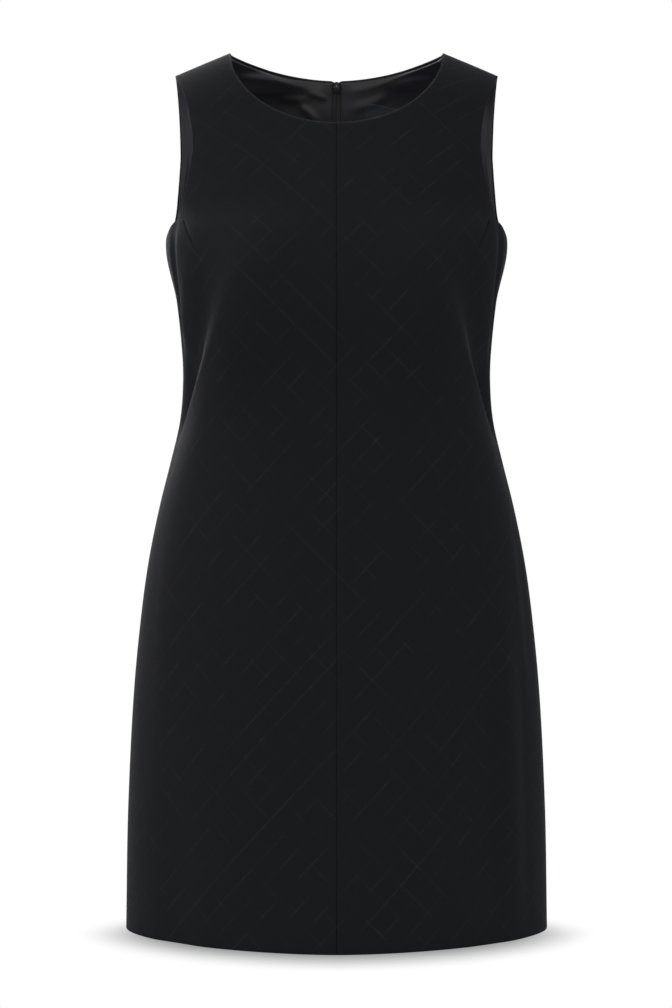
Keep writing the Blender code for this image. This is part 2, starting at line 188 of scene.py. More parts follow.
def form_points(face, side, across, level):
    """Points of the dress's inner face, folds left out."""
    out = look_up(FORM[face][0], level, across)
    cap = np.sqrt(1 - (1 - np.clip(-level / SHOULDER_ROUNDING, 0, 1)) ** 2)
    fore = look_up(FORM[face][1], level, across) * cap
    sunk = CLOTH * (1 - np.clip(level / UNDERARM, 0, 1))
    height = level - shoulder_tilt(level) * (out - NECK_HALF_WIDTH) - sunk
    return np.stack([side * out, -fore if face == "front" else fore, height], axis=-1)


print("table:", len(LEVELS), "by", len(SHARES))

# %% [markdown]
# ## Folds
# Worn cloth shows a few long, soft folds.  They could be sculpted by hand, but a table is easy to read and to
# change.  Each fold runs between two places, bowed sideways, and pushes the cloth in, or out if its depth is
# negative.

# %% The table of folds
Fold = namedtuple("Fold", "name face side top_across top_level low_across low_level bow inner outer depth")
BOTH = 0
FOLDS = [
    Fold("centre_seam", "front", BOTH, 0.0, 0.35, 0.0, -1.4, 0.0, 0.0034, 0.0034, 0.0005),
    Fold("bust_point", "front", BOTH, 0.4, -0.16, 0.42, -0.375, 0.0, 0.072, 0.062, -0.0072),
    Fold("below_bust", "front", BOTH, 0.44, -0.185, 1.5, -0.53, -0.0365, 0.026, 0.045, 0.0125),
    Fold("below_bust_bank", "front", BOTH, 0.56, -0.24, 1.25, -0.52, -0.022, 0.056, 0.04, 0.003),
    Fold("side_hollow", "front", BOTH, 0.85, -0.14, 0.99, -0.355, -0.009, 0.01, 0.01, 0.003),
    Fold("dart_hollow", "front", BOTH, 0.88, -0.16, 0.5, -0.25, 0.0, 0.012, 0.02, 0.0016),
    Fold("left_skirt_ridge", "front", LEFT, 0.72, -0.54, 0.72, -0.96, 0.0, 0.03, 0.026, -0.0042),
    Fold("left_skirt_hollow", "front", LEFT, 0.61, -0.54, 0.63, -0.96, 0.0, 0.04, 0.026, 0.0032),
    Fold("right_hip", "front", RIGHT, 0.86, -0.44, 0.8, -0.8, 0.006, 0.016, 0.024, 0.0005),
    Fold("left_hip", "front", LEFT, 0.88, -0.45, 0.86, -0.7, 0.004, 0.014, 0.018, 0.0012),
    Fold("right_hem", "front", RIGHT, 0.62, -0.7, 0.66, -1.1, 0.0, 0.04, 0.034, 0.0022),
    Fold("back_waist", "back", BOTH, 0.4, -0.23, 0.62, -0.5, 0.012, 0.05, 0.05, 0.007),
    Fold("back_skirt", "back", BOTH, 0.58, -0.6, 0.66, -1.04, 0.006, 0.04, 0.04, 0.004),
]
SEAM_FADE = 0.03
FOLD_END = 0.38


def fold_depth(face, side, across, level, folds):
    """How far the folds push the cloth in at each place."""
    length = ring_length(face, level)
    depth = np.zeros(np.shape(across))
    for fold in folds:
        if fold.face != face or fold.side not in (BOTH, side):
            continue
        top = np.array([fold.top_across * ring_length(face, fold.top_level), fold.top_level])
        low = np.array([fold.low_across * ring_length(face, fold.low_level), fold.low_level])
        chord = low - top
        reach = np.linalg.norm(chord)
        from_top = np.stack([across * length - top[0], level - top[1]], axis=-1)
        along = from_top @ chord / reach ** 2
        aside = from_top @ np.array([-chord[1], chord[0]]) / reach - fold.bow * 4 * along * (1 - along)
        width = np.where(aside > 0, fold.outer, fold.inner)
        inside = (along > 0) & (along < 1) & (np.abs(aside) < width)
        taper = ease(along / FOLD_END) * ease((1 - along) / FOLD_END)
        shape = np.cos(math.pi / 2 * np.clip(aside / width, -1, 1)) ** 2
        depth += np.where(inside, fold.depth * taper * shape, 0)
    return depth * ease((1 - across) * length / SEAM_FADE)


def handed(face, side):
    """1 where rows and columns run anticlockwise as seen from outside, otherwise -1."""
    return side if face == "front" else -side


def surface_points(face, side, across, level, lift=0.0, folds=FOLDS):
    """Points of the dress, moved out from its inner face by lift."""
    across, level = np.broadcast_arrays(np.asarray(across, float), np.asarray(level, float))
    step = 0.0008
    nearer = form_points(face, side, np.maximum(across - 0.01, 0), level)
    further = form_points(face, side, np.minimum(across + 0.01, 1), level)
    above = form_points(face, side, across, -np.abs(level + step))
    above[..., 1] *= np.where(level + step > 0, -1, 1)
    below = form_points(face, side, across, level - step)
    normal = np.cross(further - nearer, above - below)
    normal *= handed(face, side)
    normal /= np.linalg.norm(normal, axis=-1, keepdims=True)
    offset = lift - fold_depth(face, side, across, level, folds)
    return form_points(face, side, across, level) + offset[..., None] * normal


print("folds:", ", ".join(fold.name for fold in FOLDS))

# %% [markdown]
# ## Cutting a panel
# A panel is a grid of places.  Skirt rows run level up to the underarm.  Above it each column climbs to its
# own place on the neck or shoulder, and the outer columns bend round the armhole, spaced along its curve.

# %% Edges of a panel
def level_of(out, height):
    """The level of the ring that passes a place on the neck or armhole edge."""
    level = height
    for _ in range(40):
        level = min(height + shoulder_tilt(level) * (out - NECK_HALF_WIDTH), 0)
    return level


def across_at(face, level, out):
    """Across at a distance out from the centre."""
    outs, _, run = half_ring(face, level)
    return np.interp(out, outs, run) / run[-1]


def armhole_across(face, level):
    """Across at the armhole's edge: a curve in from the tip, then a bowl to the underarm."""
    narrowest = ARMHOLES[face]
    low_level = level_of(narrowest.half_width, narrowest.height)
    if level >= low_level:
        share = (level - low_level) / -low_level
        rise = SHOULDER_HALF_WIDTH - narrowest.half_width
        return across_at(face, level, narrowest.half_width + rise * share ** ARMHOLE_POWER)
    outs, fores, _ = half_ring(face, low_level)
    widest = np.interp(narrowest.half_width, outs, fores)
    share = min((low_level - level) / (low_level - UNDERARM), 1)
    fore = widest * (1 - share ** ARMHOLE_BOWL) ** (1 / ARMHOLE_BOWL)
    _, fores, run = half_ring(face, level)
    return np.interp(-fore, -fores, run) / run[-1]


def armhole_levels(face, rows):
    """Levels up from the underarm that step evenly along the armhole's curve."""
    turn = np.linspace(0, 1, 1500) ** 3
    levels = UNDERARM * (1 - turn)
    across = np.array([armhole_across(face, level) for level in levels])
    run = run_along(form_points(face, LEFT, across, levels))
    return np.interp(np.linspace(0, run[-1], rows + 1), run, levels), run[-1]


print("armhole halves:", [round(armhole_levels(face, 60)[1], 3) for face in FORM], "m")

# %% The grid of a panel
SLIDER_BELOW_NECK = 0.006
SLIT = 0.002
NOTCH_WIDTH = 0.006
NOTCH_DROP = 0.002
BRIDGE_REACH = 0.0029
SLIT_EASE = 0.0008
NECK_ROUNDING = 0.04
FAN_POWER = 1.4
CLIMBED = {}
for face in FORM:
    run = run_along(form_points(face, LEFT, np.zeros(len(LEVELS)), LEVELS))
    CLIMBED[face] = run - np.interp(CHECK_LEVEL, LEVELS, run)


def flat_place(face, side, across, level):
    """Where a place lies on the flat cut: across and up, in metres."""
    climbed = np.interp(level, LEVELS, CLIMBED[face])
    return np.stack([side * across * ring_length(face, level), climbed], axis=-1)


def top_edge(face, neck_columns, shoulder_columns, margin=0.0, notch=0.0):
    """Across and level of each column's top: round the neck, then along the shoulder seam."""
    turns = math.pi / 2 * np.arange(neck_columns) / neck_columns
    outs = (NECK_HALF_WIDTH + margin) * np.sin(turns)
    heights = -(NECK_DROP[face] + margin) * np.cos(turns) ** NECK_POWER[face]
    heights = heights - notch * ease(1 - outs / NOTCH_WIDTH)
    levels = [level_of(out, height) for out, height in zip(outs, heights)]
    neck = [across_at(face, level, out) for out, level in zip(outs, levels)]
    seam = np.linspace(NECK_HALF_WIDTH + margin, SHOULDER_HALF_WIDTH - margin, shoulder_columns + 1)
    shoulder = [across_at(face, 0, out) for out in seam]
    return np.array(neck + shoulder), np.array(levels + [-0.03 * margin] * len(shoulder))


Grid = namedtuple("Grid", "across level")


def panel_grid(face, low_level, centre_edge, columns, skirt_rows, fan_rows, margin=0.0, notch=0.0):
    """The places of a panel: rows from the hem up, and columns from the centre out."""
    tops, top_levels = top_edge(face, *columns, margin, notch)
    share = np.linspace(0, 1, len(tops))
    bend = share ** 2
    rows_across, rows_level = [], []
    for rise in np.arange(skirt_rows) / skirt_rows:
        level = low_level + (UNDERARM - low_level) * rise
        length = ring_length(face, level)
        start, end = centre_edge(level, top_levels[0]) / length, 1 - margin / length
        rows_across.append(start + share * (end - start))
        rows_level.append(np.full(len(share), level))
    armhole, _ = armhole_levels(face, fan_rows)
    top_end = armhole_across(face, 0) - margin / ring_length(face, 0)
    rounding = 1 + ease(1 + top_levels / NECK_ROUNDING)
    for row in range(fan_rows + 1):
        even = row / fan_rows
        climb = (1 - bend) * (1 - (1 - even) ** rounding) + bend * (1 - armhole[row] / UNDERARM)
        level = UNDERARM + (top_levels - UNDERARM) * climb
        length = ring_length(face, level)
        start = centre_edge(level, top_levels[0]) / length
        short = 1 - armhole_across(face, armhole[row]) + margin / length
        squeezed = np.minimum(tops, top_end) * (1 - start / top_end)
        top_share = (squeezed + (1 - top_end) * bend) / (1 - start)
        line = share + (top_share - share) * even ** FAN_POWER
        rows_across.append(start + line * (1 - start) - short * bend)
        rows_level.append(level)
    return Grid(np.array(rows_across), np.array(rows_level))


def seam_edge(level, top_level):
    """The fronts meet along the centre seam."""
    return 0 * level


def zip_edge(level, top_level):
    """The backs meet all the way up, and part only round the slider's bridge."""
    from_pin = abs(level - (top_level - SLIDER_BELOW_NECK))
    return SLIT / 2 * ease((BRIDGE_REACH - from_pin) / SLIT_EASE)


NECK_LEVELS = {face: top_edge(face, 8, 5)[1][0] for face in FORM}
print("levels of the neck's centre:", *(round(level, 4) for level in NECK_LEVELS.values()))

# %% [markdown]
# ## From a grid to a sewn panel
# A Solidify modifier would leave square edges, and a Bevel tears them where columns run along the neck.  So
# the wall is built from points: two faces and a half round rim.  Two rims that touch read as a pressed seam,
# and a fat one as an edge that is turned in.

# %% Rolled sheets
Shell = namedtuple("Shell", "points faces uv")
RIM_TURNS = (math.pi / 4, math.pi / 2, 3 * math.pi / 4)


def rolled_sheet(outer, inner, uv, rolls, outwards, corner_column=None):
    """A sheet between two grids of points, whose rim stands out by the low, end, top and centre rolls."""
    rows, columns = outer.shape[:2]
    index = np.arange(rows * columns).reshape(rows, columns)
    loop = np.concatenate([index[0, :-1], index[:-1, -1], index[-1, :0:-1], index[:0:-1, 0]])
    sizes = (columns, rows) * 2
    low, end, top, centre = (np.broadcast_to(roll, size) for roll, size in zip(rolls, sizes))
    roll = np.concatenate([low[:-1], end[:-1], top[:0:-1], centre[:0:-1]])
    inside = index[np.clip(loop // columns, 1, rows - 2), np.clip(loop % columns, 1, columns - 2)]
    outer, inner = outer.reshape(-1, 3).copy(), inner.reshape(-1, 3).copy()
    middle, half = (outer[loop] + inner[loop]) / 2, (outer[loop] - inner[loop]) / 2
    beyond = np.cross(np.roll(middle, -1, 0) - np.roll(middle, 1, 0), half)
    beyond *= np.sign(np.sum(beyond * (middle - (outer[inside] + inner[inside]) / 2)))
    beyond *= (roll / np.linalg.norm(beyond, axis=1))[:, None]
    corners = [0, columns - 1, columns + rows - 2, 2 * columns + rows - 3]
    if corner_column is not None:
        corners.append(2 * columns + rows - 3 - corner_column)
    sides = beyond.copy()
    for corner in corners:
        beyond[corner] = sides[corner - 1] + sides[(corner + 1) % len(loop)]
    outer[loop] -= beyond
    inner[loop] -= beyond
    rims = [middle - beyond + half * math.cos(turn) + beyond * math.sin(turn) for turn in RIM_TURNS]
    cell = index[:-1, :-1].ravel()
    wall = np.stack([cell, cell + 1, cell + columns + 1, cell + columns], axis=1)
    faces = [wall, wall[:, ::-1] + rows * columns]
    firsts = [2 * rows * columns + step * len(loop) for step in range(len(rims))]
    loops = [loop, *(first + np.arange(len(loop)) for first in firsts), loop + rows * columns]
    for upper, lower in zip(loops, loops[1:]):
        faces.append(np.stack([np.roll(upper, -1), upper, lower, np.roll(lower, -1)], axis=1))
    faces = np.concatenate(faces)
    if not outwards:
        faces = faces[:, ::-1]
    flat = uv.reshape(-1, 2)
    flat = np.concatenate([flat, flat, *[flat[loop]] * len(rims)])
    return Shell(np.concatenate([outer, inner, *rims]), faces, flat)


dress = bpy.data.collections.new("shift_dress")
bpy.context.scene.collection.children.link(dress)


def piece_from(name, shells, finish, body="dress"):
    """A smooth piece of one or more shells, with its finish, body and slot."""
    points, faces = [], []
    for shell in shells:
        faces += [[corner + len(points) for corner in face] for face in shell.faces]
        points += shell.points.tolist()
    mesh = bpy.data.meshes.new(name)
    mesh.from_pydata(points, [], faces)
    if shells[0].uv is not None:
        layer = mesh.uv_layers.new(name="flat_cut")
        corners = np.empty(len(mesh.loops), int)
        mesh.loops.foreach_get("vertex_index", corners)
        layer.data.foreach_set("uv", np.concatenate([shell.uv for shell in shells])[corners].ravel())
    mesh.shade_smooth()
    mesh.materials.append(finish)
    made = bpy.data.objects.new(name, mesh)
    dress.objects.link(made)
    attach(made, body)
    return made


def layer_shell(face, side, grid, lifts, rolls, folds=FOLDS, corner_column=None):
    """A sheet that follows the dress between two lifts off its inner face, the outer one first."""
    outer, inner = (surface_points(face, side, *grid, lift, folds) for lift in lifts)
    uv = flat_place(face, side, *grid)
    return rolled_sheet(outer, inner, uv, rolls, handed(face, side) > 0, corner_column)


print("a rim has", len(RIM_TURNS), "rows of points")

# %% [markdown]
# ## Seam turnings
# Inside the dress each seam's spare cloth is pressed open.  Little of it shows, but it shuts out the light.

# %% Strips of spare cloth
TURNING = 0.012
TURNING_LIFTS = (-0.0001, -0.001)
TURNING_COLUMNS = np.linspace(0, 1, 5)
HEM_TURN = 0.034
HEM_LIFT = -0.0013
TUCKED = 0.004
TURNING_STEP = 0.004


def turning_shell(face, side, across, level):
    return layer_shell(face, side, Grid(across, level), TURNING_LIFTS, (0.0004,) * 4)


def seam_turnings(face, side, centre_top):
    """The turnings of one panel: at the centre, the side and the shoulder."""
    strips = []
    low = HEM + HEM_TURN - TUCKED
    for top, at_centre in ((centre_top, True), (UNDERARM - TUCKED, False)):
        levels = np.linspace(low, top, int((top - low) / TURNING_STEP))[:, None]
        length = ring_length(face, levels)
        distance = TURNING * TURNING_COLUMNS if at_centre else length - TURNING * (1 - TURNING_COLUMNS)
        strips.append(turning_shell(face, side, distance / length, levels + 0 * distance))
    outs = np.linspace(SHOULDER_HALF_WIDTH - TUCKED, NECK_HALF_WIDTH + 0.003, 24)
    across = np.array([across_at(face, 0, out) for out in outs])
    level = -0.0015 * TURNING_COLUMNS[:, None] ** 2 - 1e-6
    strips.append(turning_shell(face, side, across[None, ::-1] + 0 * level, level[::-1] + 0 * across))
    return strips


print("turnings:", TURNING, "m, hem:", HEM_TURN, "m")

# %% The four outer panels
SEAM_ROLL = 0.00045
ZIP_ROLL = 0.0007
EDGE_ROLL = 0.0006
EDGE_LIFT = -0.0002
SKIRT_ROWS, FAN_ROWS = 180, 80
# How far a painted highlight reaches in from the neck's edge, and how strong it is on each face.
NECK_HIGHLIGHT_REACH = 0.0028
NECK_HIGHLIGHT = {"front": 0.5, "back": 1.0}
Panel = namedtuple("Panel", "face side centre_edge columns turning_top centre_roll notch")
FRONT = (seam_edge, (74, 36), NECK_LEVELS["front"] - TUCKED, SEAM_ROLL, 0)
BACK = (zip_edge, (64, 32), ZIP_END - TUCKED, ZIP_ROLL, NOTCH_DROP)
PANELS = {
    "front_right": Panel("front", RIGHT, *FRONT),
    "front_left": Panel("front", LEFT, *FRONT),
    "back_right": Panel("back", RIGHT, *BACK),
    "back_left": Panel("back", LEFT, *BACK),
}


def mark_neck_edge(made, panel, grid):
    """Stores how near each point lies to the neck's edge, as the strength of a painted highlight there."""
    columns = np.arange(panel.columns[0] + 1)
    places = np.linspace(0, columns[-1], 400)
    across, level = (np.interp(places, columns, edge[-1, columns]) for edge in grid)
    tree = KDTree(len(places))
    for point in surface_points(panel.face, panel.side, across, level, CLOTH / 2):
        tree.insert(point, 0)
    tree.balance()
    distance = np.array([tree.find(vertex.co)[2] for vertex in made.data.vertices])
    mark = made.data.attributes.new("neck_edge", "FLOAT", "POINT")
    mark.data.foreach_set("value", NECK_HIGHLIGHT[panel.face] * ease(1 - distance / NECK_HIGHLIGHT_REACH))


def sewn_panel(node, panel, finish):
    """One outer panel with its turned edges and its seam turnings."""
    face, side, centre_edge, columns, turning_top, centre_roll, notch = panel
    grid = panel_grid(face, HEM, centre_edge, columns, SKIRT_ROWS, FAN_ROWS, notch=notch)
    inner = np.where(grid.level < HEM + HEM_TURN, HEM_LIFT, 0.0)
    inner[SKIRT_ROWS + 2:, -3:] = EDGE_LIFT
    inner[-3:, :columns[0] + 1] = EDGE_LIFT
    end_roll = np.where(np.arange(len(inner)) >= SKIRT_ROWS, EDGE_ROLL, SEAM_ROLL)
    top_roll = np.where(np.arange(inner.shape[1]) <= columns[0], EDGE_ROLL, SEAM_ROLL)
    rolls = (-HEM_LIFT, end_roll, top_roll, centre_roll)
    wall = layer_shell(face, side, grid, (CLOTH, inner), rolls, FOLDS, columns[0])
    made = piece_from(node + "_cloth", [wall, *seam_turnings(face, side, turning_top)], finish)
    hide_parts(node)
    mark_neck_edge(made, panel, grid)
    return made


print("panels:", ", ".join(PANELS))

# %% [markdown]
# ## Shader maths as plain sums
# Most nodes of a finish only add or multiply.  This class wraps a socket, so that `1 - line * 0.5` adds the
# Math nodes by itself and a finish reads like a formula.

# %% A socket that can be reckoned with
def adds_node(operation, swapped=False):
    """A method of Signal that adds one Math node."""
    def method(self, other):
        return self.math(operation, *((other, self) if swapped else (self, other)))
    return method


class Signal:
    """A shader value.  Arithmetic on it adds Math nodes to its finish."""

    def __init__(self, finish, socket):
        self.finish = finish
        self.socket = socket

    def math(self, operation, *values):
        return self.finish.node("ShaderNodeMath", {"operation": operation}, values or (self,))

    __add__ = __radd__ = adds_node("ADD")
    __mul__ = __rmul__ = adds_node("MULTIPLY")
    __sub__ = adds_node("SUBTRACT")
    __rsub__ = adds_node("SUBTRACT", swapped=True)
    __truediv__ = adds_node("DIVIDE")
    __rtruediv__ = adds_node("DIVIDE", swapped=True)
    __pow__ = adds_node("POWER")

    def rises(self, low, high):
        """0 below low, 1 above high, smooth between."""
        settings = {"interpolation_type": "SMOOTHSTEP"}
        return self.finish.node("ShaderNodeMapRange", settings, (self, low, high))

    def waves(self, length):
        """0 to 1 and back once in each length."""
        return (self * (2 * math.pi / length)).math("SINE") * 0.5 + 0.5


class Finish:
    """A material or world.  Values that are the same all over are set on its shader's sockets."""

    def __init__(self, name, colour, world=False, **values):
        self.owner = (bpy.data.worlds if world else bpy.data.materials).new(name)
        self.owner.use_nodes = True
        self.tree = self.owner.node_tree
        self.shader = self.tree.nodes["Background" if world else "Principled BSDF"]
        self.shader.inputs[0].default_value = (*colour, 1)
        for socket, value in values.items():
            self.shader.inputs[socket.replace("_", " ")].default_value = value

    def node(self, kind, settings=None, values=(), output=0):
        """Adds a node: first its settings, then its sockets' values or links."""
        node = self.tree.nodes.new(kind)
        for setting, value in (settings or {}).items():
            setattr(node, setting, value)
        for socket, value in values.items() if isinstance(values, dict) else enumerate(values):
            if isinstance(value, Signal):
                self.tree.links.new(value.socket, node.inputs[socket])
            else:
                node.inputs[socket].default_value = value
        return Signal(self, node.outputs[output])

    def feed(self, **signals):
        """Links signals to the shader's sockets."""
        for socket, signal in signals.items():
            self.tree.links.new(signal.socket, self.shader.inputs[socket.replace("_", " ")])

    def mix(self, factor, first, second):
        """One colour turning into another."""
        sockets = {0: factor}
        for socket, colour in ((6, first), (7, second)):
            sockets[socket] = colour if isinstance(colour, Signal) else (*colour, 1)
        return self.node("ShaderNodeMix", {"data_type": "RGBA"}, sockets, output=2)

    def noise(self, place, scale=1.0, detail=2.0, roughness=0.5):
        values = {"Vector": place, "Scale": scale, "Detail": detail, "Roughness": roughness}
        return self.node("ShaderNodeTexNoise", None, values)

    def vector(self, x, y):
        return self.node("ShaderNodeCombineXYZ", None, (x, y))

    def parts(self, place):
        """The three parts of a vector."""
        split = self.node("ShaderNodeSeparateXYZ", None, (place,)).socket.node
        return [Signal(self, socket) for socket in split.outputs]

    def flat_place(self):
        """The place on the flat cut, in metres: u across and v up."""
        return self.parts(self.node("ShaderNodeUVMap", {"uv_map": "flat_cut"}))[:2]

    def object_place(self):
        return self.node("ShaderNodeTexCoord", output=3)

    def bump(self, height, distance, strength=1.0):
        sockets = {"Height": height, "Distance": distance, "Strength": strength}
        return self.node("ShaderNodeBump", None, sockets)


print("a finish can use:", ", ".join(name for name in vars(Finish) if name[0] != "_"))

# %% [markdown]
# ## The suiting
# The cloth is a near-black wool blend.  Fine pale yarns make an open check on the bias: one set rises at 47
# degrees, 20 mm apart, and the other falls, 24 mm apart.  The yarns are slubby, so each line comes and goes.

# %% The suiting's finish
RISING = math.radians(47)
FALLING = math.radians(45.5)
THREAD = 0.0007


def pale_yarn(cloth, across, along, spacing, phase, width):
    """How much of a pale yarn shows: thin lines, broken by slubs."""
    turns = (across - phase) / spacing + 0.5
    index = turns.math("FLOOR")
    aside = (turns - index - 0.5).math("ABSOLUTE") * spacing
    line = 1 - aside.rises(0.3 * width, 0.8 * width)
    fading = cloth.noise(cloth.vector(index * 7.31, along * 26)).rises(0.42, 0.66)
    slubs = cloth.noise(cloth.vector(index * 3.7, along * 260), detail=1).rises(0.3, 0.8)
    return line * (0.1 + 0.9 * fading) * (0.3 + 0.7 * slubs)


def suiting():
    cloth = Finish("suiting", (0.007, 0.0074, 0.0086), Roughness=0.8, Specular_IOR_Level=0.06,
                   Sheen_Weight=0.031, Sheen_Roughness=0.17, Sheen_Tint=(0.85, 0.9, 1.0, 1))
    u, v = cloth.flat_place()
    rising = u * math.sin(RISING) - v * math.cos(RISING)
    falling = u * math.sin(FALLING) + v * math.cos(FALLING)
    first = pale_yarn(cloth, rising, falling, 0.02, 0.0054, 0.0016)
    second = pale_yarn(cloth, falling, rising, 0.0243, -0.0005, 0.0015)
    pale = first + second * 0.8
    mottle = cloth.noise(cloth.vector(u, v), 260, 3, 0.6).rises(0.3, 0.7)
    heather = cloth.noise(cloth.vector(rising * 2600, falling * 240), detail=1).rises(0.3, 0.75)
    ground = cloth.mix(0.6 * mottle + 0.4 * heather, (0.0063, 0.0067, 0.0078), (0.0077, 0.0081, 0.0094))
    ground = cloth.mix(pale * 0.28, ground, (0.026, 0.026, 0.028))
    # Painted highlight: the neck's turned edge is coloured paler, standing in for the sheen that light puts
    # on its rim.
    painted_edge_highlight = cloth.node("ShaderNodeAttribute", {"attribute_name": "neck_edge"}, output=2)
    cloth.feed(Base_Color=cloth.mix(painted_edge_highlight * (0.5 + 0.5 * mottle), ground, (0.04, 0.0405, 0.0445)))
    weave = rising.waves(THREAD) * falling.waves(THREAD)
    cloth.feed(Normal=cloth.bump(weave + pale * 0.8, 0.0001, 0.5), Roughness=0.78 + 0.1 * mottle)
    return cloth.owner


suiting_finish = suiting()
print("nodes:", len(suiting_finish.node_tree.nodes))

# %% [markdown]
# ## The outer panels
# Four panels make the dress.  Each keeps its flat cut as its UV map, so the check runs through its form as in
# cloth, and meets its neighbour at a slant in the seams.

# %% Sew the four panels
cloth_pieces = {node: sewn_panel(node, panel, suiting_finish) for node, panel in PANELS.items()}

# %% [markdown]
# ## The bust darts
# A dart is a wedge of cloth folded away, which shows as a fine sunk line that runs out to nothing.  A bump
# could paint it, but a real line catches the light: planes cut the wall, and the middle points are pushed in.

# %% Dart lines
DART_START = (0.74, -0.183)
DART_END = (0.612, -0.2225)
DART_HALF_WIDTH = 0.0017
DART_DEPTH = 0.0016
DART_MARGIN = 0.004
DART_REACH = 0.012


def sew_dart(made, side):
    """Cuts a dart's line into the outer face of a front and sinks it."""
    across, level = zip(DART_START, DART_END)
    start, end = (Vector(point) for point in surface_points("front", side, across, level, CLOTH))
    under = Vector(surface_points("front", side, *DART_START))
    out = (start - under).normalized()
    along = (end - start).normalized()
    aside = along.cross(out).normalized()
    shape = bmesh.new()
    shape.from_mesh(made.data)

    def near(point):
        from_start = point - start
        beside = -DART_MARGIN < from_start @ along < (end - start).length + DART_MARGIN
        return beside and abs(from_start @ aside) < DART_REACH

    size = len(shape.verts)
    outer = (sum(PANELS["front_left"].columns) + 1) * (SKIRT_ROWS + FAN_ROWS + 1)
    shape.verts.ensure_lookup_table()
    faces = [face for face in shape.faces if all(v.index < outer and near(v.co) for v in face.verts)]
    for shift in (-DART_HALF_WIDTH, DART_HALF_WIDTH, 0):
        parts = {part for face in faces if face.is_valid for part in (face, *face.edges, *face.verts)}
        place = start + aside * shift
        cut = bmesh.ops.bisect_plane(shape, geom=list(parts), plane_co=place, plane_no=aside)
        faces = [part for part in cut["geom"] if isinstance(part, bmesh.types.BMFace)]
        sunk = [part for part in cut["geom_cut"] if isinstance(part, bmesh.types.BMVert)]
    for point in sunk:
        share = (point.co - start) @ along / (end - start).length
        point.co -= out * DART_DEPTH * ease(min(max((1 - share) / 0.5, 0), 1)) * (share > -0.02)
    added = len(shape.verts) - size
    shape.to_mesh(made.data)
    shape.free()
    return added


for node in ("front_right", "front_left"):
    print(node, "dart points:", sew_dart(cloth_pieces[node], PANELS[node].side))

# %% [markdown]
# ## The satin lining
# Only the back shows its lining, inside the neck and as a strip in each armhole.  Satin is smooth, glossy and
# easily creased, so it has a second table of folds.  It stops short of the dress's turned edges.

# %% Satin finish
# The satin's painted shade begins 6 mm below the height of the neck's shelf wrinkle.
SHADE_LINE = float(np.interp(-0.047, LEVELS, CLIMBED["back"])) - 0.006


def satin():
    cloth = Finish("satin", (0.016, 0.0155, 0.019), Roughness=0.36, Specular_IOR_Level=0.45,
                   Sheen_Weight=0.3, Sheen_Roughness=0.3, Sheen_Tint=(0.9, 0.88, 1.0, 1))
    u, v = cloth.flat_place()
    cast = cloth.noise(cloth.vector(u * 14, v * 22)).rises(0.42, 0.6)
    floats = cloth.noise(cloth.vector(u * 3200, v * 180))
    ground = cloth.mix(cast, (0.008, 0.008, 0.0088), (0.0083, 0.0077, 0.0125))
    right = u * -1
    # Painted shade: the satin is darker on the dress's right below the neck's shelf wrinkle, where shade
    # falls inside the back.
    painted_shade = ((v + u * 0.31) * -1).rises(-SHADE_LINE, 0.008 - SHADE_LINE) * right.rises(0.03, 0.05)
    ground = cloth.mix(painted_shade * 0.9, ground, (0.003, 0.003, 0.0036))
    # Painted light: the satin is paler in each armhole strip, much more on the dress's right, for light
    # falling in through the armholes.
    ground = cloth.mix(right.rises(0.135, 0.165), ground, (0.056, 0.054, 0.065))
    ground = cloth.mix(u.rises(0.135, 0.165), ground, (0.018, 0.0174, 0.0222))
    cloth.feed(Base_Color=cloth.mix(floats * 0.3, ground, (0.028, 0.027, 0.033)))
    cloth.feed(Roughness=0.3 + 0.14 * floats)
    cloth.feed(Normal=cloth.bump(floats * 0.6 + v.waves(0.0009) * 0.4, 0.00005, 0.5))
    return cloth.owner


satin_finish = satin()
print("nodes:", len(satin_finish.node_tree.nodes))

# %% Lining, in two halves
LINING_HEM = -0.878
LINING_MARGIN = 0.0003
LINING_LIFT = -0.0016
LINING_EDGE_LIFT = -0.0004
LINING_EDGE_CLOTH = 0.0004
LINING_ROWS = 150
LINING_COLUMNS = (60, 30)
LINING_OFF_ZIP = 0.005
WRINKLES = [Fold(name, "back", *rest) for name, *rest in (
    ("neck_right_shelf", RIGHT, 0.1, -0.044, 0.66, -0.01, 0.001, 0.016, 0.008, 0.0034),
    ("neck_right_pinch", RIGHT, 0.12, -0.054, 0.34, -0.044, 0.0, 0.006, 0.005, 0.001),
    ("zip_right_upper", RIGHT, 0.04, -0.057, 0.17, -0.045, 0.001, 0.004, 0.003, 0.0011),
    ("zip_right_lower", RIGHT, 0.08, -0.078, 0.22, -0.052, 0.002, 0.006, 0.005, 0.0015),
    ("neck_left_shelf", LEFT, 0.24, -0.04, 0.62, -0.012, 0.001, 0.01, 0.006, 0.0014),
    ("neck_left_arc", LEFT, 0.05, -0.064, 0.3, -0.04, -0.003, 0.006, 0.007, 0.0009),
    ("blade", BOTH, 0.5, -0.05, 0.75, -0.17, 0.006, 0.016, 0.014, 0.0018),
    ("armhole_high", BOTH, 0.76, -0.06, 0.7, -0.15, 0.004, 0.008, 0.01, 0.0014),
    ("armhole_low", BOTH, 0.86, -0.15, 0.66, -0.25, 0.006, 0.01, 0.012, 0.0018),
    ("zip_waist", BOTH, 0.06, -0.25, 0.3, -0.33, 0.004, 0.01, 0.012, 0.0018),
    ("waist", BOTH, 0.2, -0.33, 0.8, -0.36, 0.006, 0.012, 0.014, 0.0018),
    ("skirt_inner", BOTH, 0.3, -0.52, 0.34, -0.96, 0.006, 0.018, 0.022, 0.002),
    ("skirt_outer", BOTH, 0.68, -0.48, 0.74, -0.96, -0.005, 0.02, 0.018, 0.002),
)]
LINING_FOLDS = FOLDS + WRINKLES


def lining_edge(level, top_level):
    """The lining is folded under beside the coils, and closes below them."""
    return GAP / 2 + (LINING_OFF_ZIP - GAP / 2) * ease((level - ZIP_END + 0.03) / 0.03)


